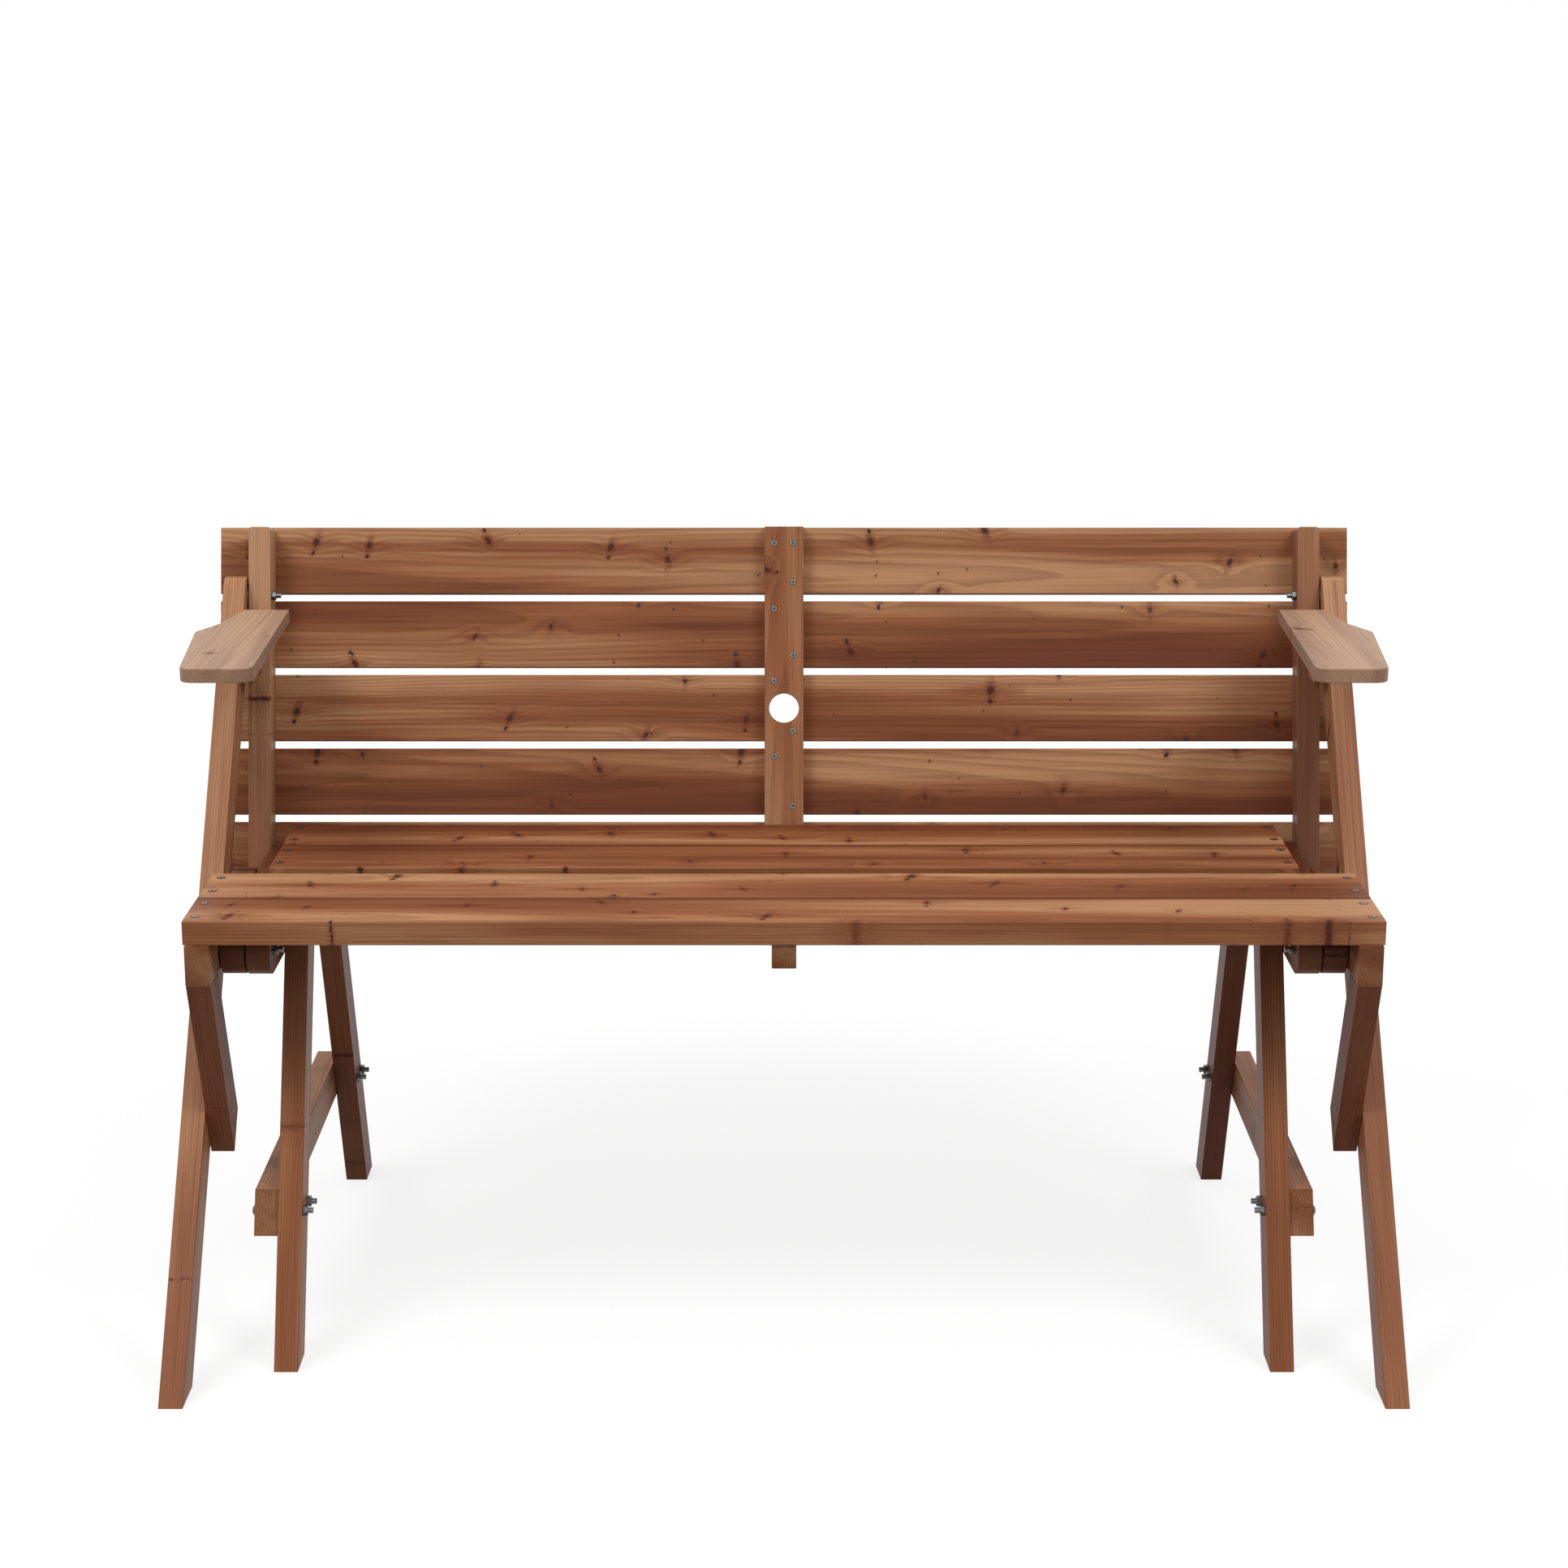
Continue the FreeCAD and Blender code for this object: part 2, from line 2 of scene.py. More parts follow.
# # A picnic bench in reddish softwood
#
# The bench's boards, bolts and nuts come in as a imported CAD frame. This notebook gives every board its
# own procedural wood, adds the wood screws that the CAD leaves out, and lights the bench and sets a camera
# on it. It runs from top to bottom in Blender.
#

# %% Load the frame
import math
import bpy
from mathutils import Matrix, Vector


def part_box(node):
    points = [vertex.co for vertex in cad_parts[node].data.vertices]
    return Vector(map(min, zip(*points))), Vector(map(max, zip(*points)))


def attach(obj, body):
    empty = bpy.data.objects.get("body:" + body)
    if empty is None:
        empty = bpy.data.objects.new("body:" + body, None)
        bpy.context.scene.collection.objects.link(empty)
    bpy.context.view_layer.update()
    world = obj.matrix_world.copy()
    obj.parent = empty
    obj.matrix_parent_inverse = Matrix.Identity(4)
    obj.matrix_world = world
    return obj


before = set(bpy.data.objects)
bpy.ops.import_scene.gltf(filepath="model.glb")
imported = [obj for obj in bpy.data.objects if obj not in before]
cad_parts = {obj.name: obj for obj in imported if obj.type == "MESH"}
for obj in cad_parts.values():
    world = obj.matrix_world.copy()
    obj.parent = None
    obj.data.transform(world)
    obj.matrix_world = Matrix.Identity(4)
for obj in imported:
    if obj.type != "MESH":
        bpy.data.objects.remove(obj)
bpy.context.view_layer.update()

# %% [markdown]
# ## Shader sums as plain Python
#
# Wood needs dozens of small sums on texture values. They could be wired by hand, one Math node
# at a time, but a node tree is easier to read and to change as arithmetic. `Graph` makes every
# node in this notebook, so there is one place that sets options and connects sockets.

# %% Graph: one method makes every node
class Graph:
    def __init__(self, name):
        self.material = bpy.data.materials.new(name)
        self.material.use_nodes = True
        self.tree = self.material.node_tree
        self.tree.nodes.clear()

    def node(self, kind, inputs=None, **settings):
        made = self.tree.nodes.new(kind)
        for key, value in settings.items():
            setattr(made, key, value)
        for key, value in (inputs or {}).items():
            if isinstance(value, Value):
                self.tree.links.new(value.socket, made.inputs[key])
            else:
                made.inputs[key].default_value = value
        return made

    def out(self, kind, inputs=None, output=0, **settings):
        return Value(self, self.node(kind, inputs, **settings).outputs[output])


print("node maker ready")

# %% [markdown]
# `Value` wraps one output socket, so that `a * b + c` builds the nodes it needs. Python calls
# `__add__` for `a + b`, and `__radd__` when only the right-hand side is ours. The same pattern
# covers the other signs. `step` is a soft switch, and most of the wood's shapes are drawn by it.

# %% Value: arithmetic on sockets
class Value:
    def __init__(self, graph, socket):
        self.graph = graph
        self.socket = socket

    def math(self, operation, *others):
        inputs = {0: self}
        inputs.update({place + 1: other for place, other in enumerate(others)})
        return self.graph.out("ShaderNodeMath", inputs, operation=operation)

    def __add__(self, other):
        return self.math("ADD", other)

    def __mul__(self, other):
        return self.math("MULTIPLY", other)

    def __sub__(self, other):
        return self.math("SUBTRACT", other)

    def __rsub__(self, other):
        return (self * -1.0) + other

    def __truediv__(self, other):
        return self.math("DIVIDE", other)

    __radd__ = __add__
    __rmul__ = __mul__

    def step(self, low, high):
        """Smooth rise from 0 at low to 1 at high, or a fall where low is the larger."""
        inputs = {"Value": self, "From Min": low, "From Max": high}
        return self.graph.out("ShaderNodeMapRange", inputs, interpolation_type="SMOOTHSTEP")


print("socket sums ready")

# %% [markdown]
# Places and colours are vectors, and a Math node would turn them grey. So they get their own
# helpers: a dot product with a fixed direction, a vector built from three values, a mix of two
# colours by a factor, and a noise read at a place.

# %% Vector and colour helpers
def dot(vector, direction):
    inputs = {0: vector, 1: tuple(direction)}
    return vector.graph.out("ShaderNodeVectorMath", inputs, "Value", operation="DOT_PRODUCT")


def combine(x, y, z):
    graph = next(v for v in (x, y, z) if isinstance(v, Value)).graph
    return graph.out("ShaderNodeCombineXYZ", {0: x, 1: y, 2: z})


def mix(factor, first, second):
    graph = next(v for v in (factor, first, second) if isinstance(v, Value)).graph
    inputs = {"Factor": factor, 6: first, 7: second}
    return graph.out("ShaderNodeMix", inputs, 2, data_type="RGBA")


def noise(vector, scale=1.0, detail=2.0, roughness=0.5):
    inputs = {"Vector": vector, "Scale": scale, "Detail": detail, "Roughness": roughness}
    return vector.graph.out("ShaderNodeTexNoise", inputs)


print("vector helpers ready")

# %% [markdown]
# ## A board cut from a log
#
# On the real bench, grain runs along every board, round its edges and out at its ends. A flat
# picture wrapped on each board would show seams there. A solid pattern has none, because it is
# rings round the log's middle, cut through by the board's faces. Each board gets its own axes:
# along the grain, across it and through it, in metres from its own middle.

# %% Board axes in metres
def board_axes(graph, centre, along, across):
    through = Vector(along).cross(Vector(across))
    place = graph.out("ShaderNodeTexCoord", output="Object")
    offset = graph.out("ShaderNodeVectorMath", {0: place, 1: tuple(-centre)}, operation="ADD")
    return dot(offset, along), dot(offset, across), dot(offset, through)


print("axes ready")

# %% [markdown]
# A knot is where a branch crossed the board. Single knots could be placed by hand, but there
# are 36 boards. A Voronoi texture scatters them instead: each cell has a middle and a
# random colour, and the colour's three parts say whether there is a knot, how large it is and
# which way it leans.

# %% Scattered knots
def knots(graph, u, v, seed, spacing, share):
    plane = combine(u / spacing + seed, v / spacing + seed * 0.37, 0.0)
    cell = graph.node("ShaderNodeTexVoronoi", {"Vector": plane, "Scale": 1.0}, voronoi_dimensions="2D")
    centre = Value(graph, cell.outputs["Position"])
    colour = graph.node("ShaderNodeSeparateColor", {0: Value(graph, cell.outputs["Color"])})
    chance, size, turn = (Value(graph, colour.outputs[i]) for i in range(3))
    away = graph.out("ShaderNodeVectorMath", {0: plane, 1: centre}, operation="SUBTRACT")
    dx = dot(away, (spacing, 0, 0))
    dy = dot(away, (0, spacing, 0))
    kept = chance.step(1.0 - share, 1.02 - share)
    return dx, dy, kept, size, turn


print("knots ready")

# %% [markdown]
# The bench's knots are small, leaning red-brown ovals with a ragged edge, often with a smaller
# twin across the board. A red smear joins the two, and a faint stain trails off along the
# grain. Each of these is a distance to the knot's middle, stretched one way or the other and
# cut off softly. The rings swell round the knot, as they do in a tree. Lengths are in metres,
# so a knot's radius is 1.8 to 4.2 mm.

# %% Knot shapes
def oval(x, y, flatness, ragged):
    return (x * x + y * y * flatness).math("SQRT") + ragged


def knot_masks(dx, dy, kept, size, turn, rough):
    x = dx + dy * (turn - 0.5) * 0.9
    radius = size * 0.0024 + 0.0018
    ragged = (rough - 0.5) * 0.0036
    twin = dy - (turn - 0.5).math("SIGN") * 0.012
    core = oval(x, dy, 0.50, ragged).step(radius * 1.25, radius * 0.6)
    second = oval(x, twin, 0.7, ragged).step(radius * 0.9, radius * 0.4) * size.step(0.35, 0.5)
    smear = oval(x, dy, 0.16, ragged * 2.0).step(radius * 2.4, radius * 0.6)
    trail = oval(dx * 0.16, dy, 1.0, ragged).step(radius * 2.6, radius * 0.2)
    swell = ((dx * dx * 0.45 + dy * dy) * -7000.0).math("EXPONENT") * kept
    return core.math("MAXIMUM", second) * kept, smear * kept, trail * kept, swell


print("knot shapes ready")

# %% [markdown]
# Between the knots there are pin knots, dark dots of about 2 mm. They are one more scatter of
# the same kind, finer and with most of its cells left empty, so that no row of dots appears.

# %% Pin knots
def pin_knots(u, v, seed, rough):
    dx, dy, kept, size, _ = knots(u.graph, u, v, seed + 40.0, spacing=0.034, share=0.20)
    radius = size * 0.0012 + 0.0010
    return oval(dx, dy, 0.6, (rough - 0.5) * 0.004).step(radius, radius * 0.3) * kept


print("pin knots ready")

# %% [markdown]
# Rings come from the distance to the log's middle line. A wave texture could draw them too,
# but its lines stay parallel. Here the distance wanders a little, so the lines close into long
# arches and never run dead straight.

# %% Ring distance
def ring_distance(u, v, w, swell, seed, pith, tilt):
    wander = noise(combine(u * 1.3 + seed, v * 5.0, w * 5.0), detail=1.0)
    bend = noise(combine(u * 6.0, v * 18.0 + seed, w * 18.0), detail=2.0)
    side = v - pith[0] + (wander - 0.5) * 0.030 + u * tilt + (bend - 0.5) * 0.004
    deep = w - pith[1] + u * 0.010
    return (side * side + deep * deep).math("SQRT") + swell * 0.0035


print("rings ready")

# %% [markdown]
# ## The wood's colours
#
# The boards are a softwood under reddish oil: tan sapwood, red-brown heartwood and dark lines.
# The colours are linear, which is what Blender shades with, so they look darker here than on the screen.
# They were set by comparing the mean colours of some patches of the render with those of the same patches
# of the photograph.

# %% Colours
PALE = (0.412, 0.212, 0.105, 1)
MIDDLE = (0.255, 0.092, 0.037, 1)
DEEP = (0.135, 0.038, 0.015, 1)
LINE = (0.080, 0.020, 0.008, 1)
SMEAR = (0.120, 0.028, 0.012, 1)
KNOT = (0.058, 0.015, 0.008, 1)
# A pale pink, partly the wood's own colour and partly a painted sheen of grazing reflection.
PINK_AND_SHEEN = (0.370, 0.280, 0.208, 1)
END_GRAIN = (0.110, 0.036, 0.015, 1)
# Painted shade of the countersinks round the screw heads.
COUNTERSINK_SHADE = (0.055, 0.018, 0.009, 1)

print("colours ready")

# %% [markdown]
# Five patterns share the work, from broad to fine: bands a few centimetres wide, patches along
# the board, thin late-wood lines on the rings, streaks of a few millimetres, and fibre. One
# noise with much detail would look like cloud. Stretching each along the grain by its own
# amount gives wood. The rings are 3 mm apart.

# %% Bands, lines, streaks and fibre
RINGS_PER_METRE = 330.0


def wood_pattern(graph, u, v, w, distance, seed):
    broad = noise(combine(u * 0.7 + seed, v * 17.0 + distance * 9.0, seed), detail=3.5, roughness=0.5)
    patch = noise(combine(u * 3.0, v * 14.0 + seed, w * 14.0), detail=2.5)
    jitter = noise(combine(u * 3.0, v * 60.0, w * 60.0 + seed), detail=1.0)
    ring = (distance * RINGS_PER_METRE + jitter * 1.3).math("FRACT")
    line = ring.step(0.25, 0.92) * ring.step(1.0, 0.93)
    streak = noise(combine(u * 4.0 + seed, v * 230.0, w * 230.0), detail=2.0, roughness=0.6)
    fibre = noise(combine(u * 11.0 + seed, v * 560.0, w * 560.0), detail=3.0, roughness=0.6)
    return broad, patch, line, streak, fibre


print("pattern ready")

# %% [markdown]
# A sawn end shows the rings in cross-section, and its open pores drink more oil, so it is
# darker than the faces. The surface's own direction tells where that is: it points along the
# grain only on an end. The same measure darkens the rounded ends of the legs and arms.

# %% End grain
def end_grain(graph, along):
    facing = graph.out("ShaderNodeTexCoord", output="Normal")
    return dot(facing, along).math("ABSOLUTE").step(0.55, 0.92)


print("end grain ready")

# %% [markdown]
# Each wood screw sits in a countersink, whose shaded wall shows as a dark ring round the head. A real
# hollow would have to be cut into the CAD board, which stays as it is. So the ring is painted shade in the
# wood's colour: dark where the point lies near one of the screws' places.

# %% Countersinks
def painted_countersink_shade(graph, places, reach):
    position = graph.out("ShaderNodeTexCoord", output="Object")
    dark = 0.0
    for place in places:
        away = graph.out("ShaderNodeVectorMath", {0: position, 1: place}, "Value", operation="DISTANCE")
        dark = away.step(reach, reach - 0.0010) * 0.80 + dark
    return dark


print("countersinks ready")

# %% [markdown]
# Two boards lie side by side on each seat. The joint between them is real in the CAD, but it is so narrow
# that it hardly shows from the camera, and the shade that falls in it is lost. So that shade is painted:
# the last 2 mm of the wood on that side are darkened as well.

# %% The joint between two seat boards
def joint_shade(v, side, half_width):
    return (v * side).step(half_width - 0.0028, half_width - 0.0010) * 0.90


print("joint ready")

# %% [markdown]
# The oil leaves a dull sheen, a little rougher on open fibre and on knots, and the fibre can
# just be felt. Roughness and a shallow bump carry that. The specular level is low, because shiny
# rays see a white studio further down, and more of it would lay a grey veil on the dark wood.

# %% Oiled surface
def oiled(graph, colour, line, fibre, core):
    height = fibre * 0.6 + line * 0.5 - core * 0.4
    bump = graph.out("ShaderNodeBump", {"Height": height, "Strength": 0.22, "Distance": 0.0006})
    roughness = fibre * 0.12 + core * 0.10 + 0.42
    inputs = {"Base Color": colour, "Roughness": roughness, "Normal": bump, "Specular IOR Level": 0.15}
    shader = graph.out("ShaderNodeBsdfPrincipled", inputs)
    graph.node("ShaderNodeOutputMaterial", {"Surface": shader})


print("oil ready")

# %% [markdown]
# The whole material is one short recipe from here: mix the bands, lay the lines, streaks and fibre over
# them, then the ends, the smears, the knots and the painted shade of the countersinks. A higher `tone`
# makes a paler board, `bands` says how strongly its bands differ, and one more setting paints light and
# shade along the board, paler towards its upper or right-hand end and darker towards the other.

# %% Wood
def wood(name, centre, along, across, seed, tone=0.0, pink_and_sheen=0.0, pith=(0.0, -0.06), tilt=0.0,
         bands=0.95, painted_light_climb=0.0, spacing=0.088, share=0.72, line_strength=0.30, ends=0.55,
         joint=None, rings=(), reach=0.0058):
    graph = Graph(name)
    u, v, w = board_axes(graph, centre, along, across)
    rough = noise(combine(u * 260.0, v * 260.0, w * 260.0 + seed), detail=2.0)
    dx, dy, kept, size, turn = knots(graph, u, v, seed, spacing, share)
    core, smear, trail, swell = knot_masks(dx, dy, kept, size, turn, rough)
    distance = ring_distance(u, v, w, swell, seed, pith, tilt)
    broad, patch, line, streak, fibre = wood_pattern(graph, u, v, w, distance, seed)
    depth = (broad - 0.5) * bands + (patch - 0.5) * 0.25 + (streak - 0.5) * 0.14
    # Painted light and shade: the board grows paler towards its upper end and darker towards its lower end.
    depth = depth + trail * 0.06 - u * painted_light_climb + (0.54 - tone)
    colour = mix(depth.step(0.40, 0.58), PALE, MIDDLE)
    colour = mix(depth.step(0.52, 0.74), colour, DEEP)
    # Pale pink, partly the board's own colour and partly a painted sheen of grazing reflection.
    if pink_and_sheen:
        colour = mix(pink_and_sheen, colour, PINK_AND_SHEEN)
    colour = mix(line * line_strength, colour, LINE)
    colour = mix(streak.step(0.52, 0.72) * 0.16, colour, LINE)
    colour = mix(fibre.step(0.46, 0.74) * 0.20, colour, LINE)
    colour = mix(end_grain(graph, along) * ends, colour, END_GRAIN)
    colour = mix(trail * 0.16 + smear * 0.55, colour, SMEAR)
    colour = mix(core.math("MAXIMUM", pin_knots(u, v, seed, rough) * 0.8), colour, KNOT)
    # Painted shade in the joint between the two seat boards.
    if joint:
        colour = mix(joint_shade(v, *joint), colour, LINE)
    # Painted shade: a dark ring in each countersink round a screw head.
    if rings:
        colour = mix(painted_countersink_shade(graph, rings, reach), colour, COUNTERSINK_SHADE)
    oiled(graph, colour, line, fibre, core)
    return graph.material


print("wood ready")

# %% [markdown]
# ## Which way each board runs
#
# A maker cuts every board with the grain along its length. A leg that leans in the side view
# has its grain along that lean. The table's boards share one lean, and the seats, rails and
# stretchers lie level. The CAD gives only faces, so each kind's two directions are written
# down here.

# %% Directions
def leaning(degrees):
    """Along and across directions of a board that leans back by so many degrees going up."""
    angle = math.radians(degrees)
    return (0, math.sin(angle), math.cos(angle)), (0, math.cos(angle), -math.sin(angle))


TABLE_LEAN = 13.8243
TABLE_UP = leaning(TABLE_LEAN)[0]
ALONG_X = ((1, 0, 0), (0, 1, 0))
ALONG_Y = ((0, 1, 0), (0, 0, 1))
RUNS = {
    "long_leg": leaning(37.0), "strut": leaning(-23.7), "rear_leg_front": leaning(23.0),
    "rear_leg_back": leaning(-23.0), "end_batten": leaning(TABLE_LEAN),
    "centre_batten": (TABLE_UP, (1, 0, 0)), "armrest": ((0, 1, 0), (1, 0, 0)),
    "armrest_cleat": leaning(0), "seat_stop": leaning(0), "front_rail": ALONG_Y,
    "rear_rail": ALONG_Y, "stretcher": ALONG_Y, "swing_arm": ALONG_Y,
    "front_seat_batten": ALONG_Y, "rear_seat_batten": ALONG_Y,
    "front_seat_board": ALONG_X, "rear_seat_board": ALONG_X, "slat": ((1, 0, 0), TABLE_UP),
}
print(len(RUNS), "kinds of board")

# %% [markdown]
# ## Where the screws are
#
# The screws' places are needed twice: for the dark rings in the wood, and for the heads further
# down. On the table they are easier to say in the table's own axes, up the backrest and back
# from the upper hinge. The slats' widths and faces are the CAD's, in metres.

# %% The table's axes
HINGE = Vector((0, 0.233, 0.727747))
UP = Vector(TABLE_UP)
BACK = Vector((0, UP.z, -UP.y))
SLAT_TOP, SLAT_WIDTH, SLAT_PITCH = 0.0794, 0.0758, 0.0841
SLAT_BACK, BATTEN_FRONT = 0.052, 0.012


def on_table(x, up, back):
    return tuple(Vector((x, 0, 0)) + HINGE + UP * up + BACK * back)


def both_sides(places):
    return [(side * x, y, z) for x, y, z in places for side in (-1, 1)]


def slat_row(row):
    middle = SLAT_TOP - SLAT_WIDTH / 2 - row * SLAT_PITCH
    return both_sides([on_table(0.593, middle + offset, SLAT_BACK) for offset in (-0.020, 0.020)])


print("table axes ready")

# %% [markdown]
# Two screws hold each end of a seat board and of a slat, two hold each strut, and a zigzag of
# screws holds the centre batten to the slats. The zigzag keeps the batten from splitting along
# one line of its grain.

# %% Places of the screws
CENTRE = [(-0.0111, 0.0606), (0.0102, 0.0606), (0.0102, 0.0163), (-0.0111, -0.0142), (0.0102, -0.0668),
          (-0.0111, -0.0963), (0.0102, -0.1535), (-0.0111, -0.1821), (0.0102, -0.2384)]
PLACES = {
    "front_seat_board_front": both_sides([(0.5975, y, 0.477) for y in (-0.205, -0.156)]),
    "front_seat_board_back": both_sides([(0.5975, y, 0.477) for y in (-0.109, -0.058)]),
    "rear_seat_board_front": both_sides([(0.5455, y, 0.476) for y in (0.008, 0.060)]),
    "rear_seat_board_back": both_sides([(0.5455, y, 0.476) for y in (0.105, 0.158)]),
    "strut_left": [(-0.582, -0.134, 0.2446), (-0.582, -0.1226, 0.2239)],
    "strut_right": [(0.582, -0.134, 0.2446), (0.582, -0.1226, 0.2239)],
    "centre_batten": [on_table(x, up, BATTEN_FRONT) for x, up in CENTRE],
}
PLACES.update({"slat_%d" % (row + 1): slat_row(row) for row in range(5)})
print("screws:", sum(len(places) for places in PLACES.values()))

# %% [markdown]
# ## Every board its own piece of wood
#
# The bench is built of odd boards from one stack: pinkish armrests, calm legs with few knots, darker rails
# and struts, and a pale top slat over darker ones. Part of this is painted light and shade: the armrests'
# pink is partly a painted sheen of grazing reflection, the rails, struts, swing arms and back rear legs are
# partly darkened as painted shade, the lower slats partly as painted shade too, and the stretcher is partly
# lightened as painted light on its top. One material on all of them would repeat the same knots. So each
# kind has its own settings here, the boards that are seen best have a tone of their own, and the rest of
# the numbers follow below.

# %% Settings of the kinds that differ
SPECIAL = {
    # The armrests' pale pink is partly their own colour and partly a painted sheen of grazing reflection.
    "armrest": {"tone": 0.0, "pink_and_sheen": 0.50, "line_strength": 0.17, "share": 0.50, "ends": 0.20},
    "centre_batten": {"tone": 0.01, "bands": 0.7, "share": 0.30, "reach": 0.0045},
    # Painted shade and light: the end battens darken low down, under the armrests' shadow, and the long
    # legs grow paler towards their tops.
    "end_batten": {"tone": -0.045, "pink_and_sheen": 0.12, "bands": 0.55, "painted_light_climb": 0.50, "share": 0.25,
                   "line_strength": 0.15},
    "long_leg": {"tone": 0.012, "pink_and_sheen": 0.03, "bands": 0.45, "painted_light_climb": 0.16, "share": 0.25,
                 "line_strength": 0.20},
    # The darker tones of the rails, back rear legs, struts and swing arms are partly painted shade, and the
    # stretcher's paler tone is partly painted light.
    "front_rail": {"tone": -0.09, "bands": 0.7, "share": 0.3},
    "rear_rail": {"tone": -0.14, "bands": 0.7, "share": 0.3},
    "rear_leg_front": {"bands": 0.7, "share": 0.25},
    "rear_leg_back": {"tone": -0.12, "bands": 0.7, "share": 0.3},
    "stretcher": {"tone": 0.05, "bands": 0.7, "share": 0.3, "ends": 0.45},
    "strut": {"tone": -0.14, "bands": 0.7, "share": 0.4},
    "swing_arm": {"tone": -0.14, "share": 0.3},
}
OWN_TONE = {
    # The slats' tones are partly painted shade, darker on the lower slats.
    "slat_1": 0.055, "slat_2": -0.030, "slat_3": -0.060, "slat_4": -0.050, "slat_5": -0.060,
    "front_seat_board_front": 0.009, "front_seat_board_back": 0.015,
    "rear_seat_board_front": -0.045, "rear_seat_board_back": -0.038,
    "rear_leg_front_left": 0.050, "rear_leg_front_right": -0.115,
}


def kind_of(node):
    return max((kind for kind in RUNS if node.startswith(kind)), key=len, default=None)


print("kinds with settings of their own:", len(SPECIAL))

# %% [markdown]
# Seed, log place, tilt and tone come from the board's place in the sorted list of names.
# Random numbers would do as well, but these give the same bench each time.

# %% Give each board its wood
def spread(index, step):
    """Evenly scattered number between 0 and 1 for each index."""
    return (index * step) % 1.0


def board_settings(index, name, half_width):
    settings = {
        "tone": (spread(index, 0.618) - 0.5) * 0.08,
        "pith": ((spread(index, 0.381) - 0.5) * 0.10, -0.030 - spread(index, 0.733) * 0.07),
        "tilt": (spread(index, 0.527) - 0.5) * 0.05,
    }
    settings.update(SPECIAL.get(kind_of(name), {}))
    settings["tone"] = OWN_TONE.get(name, settings["tone"])
    if "seat_board" in name:
        settings["joint"] = (1 if name.endswith("front") else -1, half_width)
    if "seat_board" in name or name == "centre_batten":
        settings["rings"] = PLACES[name]
    return settings


def paint_boards(nodes):
    count = 0
    for index, name in enumerate(sorted(nodes)):
        if kind_of(name) is None or name.endswith(("_bolts", "_nuts", "_washers")):
            continue
        low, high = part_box(name)
        along, across = RUNS[kind_of(name)]
        settings = board_settings(index, name, (high.y - low.y) / 2)
        made = wood(name + "_wood", (low + high) / 2, along, across, 3.1 + index * 1.73, **settings)
        nodes[name].data.materials.clear()
        nodes[name].data.materials.append(made)
        count += 1
    return count


print("boards painted:", paint_boards(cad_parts))

# %% [markdown]
# ## Zinc-plated steel
#
# Bolts, nuts and washers are plated steel, dulled by weather to a mottled grey. The threads
# could be cut in the mesh, but each is about one pixel wide in the picture. A wave along the
# bolt, used as a bump, catches the light in the same way.

# %% Steel
THREAD_PITCH = 0.001


def steel(name, threads=False, shade=0.50):
    graph = Graph(name)
    place = graph.out("ShaderNodeTexCoord", output="Object")
    mottle = noise(place, 420.0, 4.0, 0.6)
    bright = (shade, shade, shade * 0.97, 1)
    dull = (shade * 0.50, shade * 0.50, shade * 0.48, 1)
    colour = mix(mottle.step(0.35, 0.7), bright, dull)
    height = mottle * 0.3
    if threads:
        height = height + dot(place, (2 * math.pi / THREAD_PITCH, 0, 0)).math("SINE") * 0.8
    bump = graph.out("ShaderNodeBump", {"Height": height, "Strength": 0.5, "Distance": 0.0003})
    inputs = {"Base Color": colour, "Roughness": mottle * 0.25 + 0.24, "Normal": bump, "Metallic": 1.0}
    shader = graph.out("ShaderNodeBsdfPrincipled", inputs)
    graph.node("ShaderNodeOutputMaterial", {"Surface": shader})
    return graph.material


bolt_steel = steel("bolt_steel", threads=True, shade=0.22)
nut_steel = steel("nut_steel", shade=0.18)
screw_steel = steel("screw_steel", shade=0.27)
# A lighter copy of the screw steel: a painted highlight for the seat screws.
painted_highlight_steel = steel("painted_highlight_steel", shade=0.60)
# Near-black steel: painted shade in the screws' cross recesses.
recess_shade_steel = steel("recess_shade_steel", shade=0.05)
for name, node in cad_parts.items():
    if name.endswith(("_bolts", "_nuts", "_washers")):
        node.data.materials.clear()
        node.data.materials.append(bolt_steel if name.endswith("_bolts") else nut_steel)
print("steel ready")

# %% [markdown]
# ## Wood screws
#
# The screws have flat heads with a cross recess, about 7 mm across, that taper down into the
# wood. Only the heads show, so only the heads are made. One is modelled from a cylinder: its
# lower face is drawn in to make the taper and its upper rim is bevelled. Two small helpers come
# first, because an operator acts on all that is selected.

# %% Selecting in code
def select_only(*objects):
    bpy.ops.object.select_all(action="DESELECT")
    for piece in objects:
        piece.select_set(True)
    bpy.context.view_layer.objects.active = objects[0]


def edit_faces(piece, wanted):
    """Enter edit mode with just the wanted faces selected."""
    select_only(piece)
    bpy.ops.object.mode_set(mode="EDIT")
    bpy.ops.mesh.select_mode(type="FACE")
    bpy.ops.mesh.select_all(action="DESELECT")
    bpy.ops.object.mode_set(mode="OBJECT")
    for face in piece.data.polygons:
        face.select = wanted(face)
    bpy.ops.object.mode_set(mode="EDIT")


print("selecting ready")

# %% [markdown]
# The wood's surface is at height 0 of this pattern, and the head stands half a millimetre
# proud of it. A deeper head would need a hollow in the CAD board.

# %% One tapered head
HEAD_RADIUS, HEAD_HEIGHT, PROUD = 0.0034, 0.0020, 0.0005


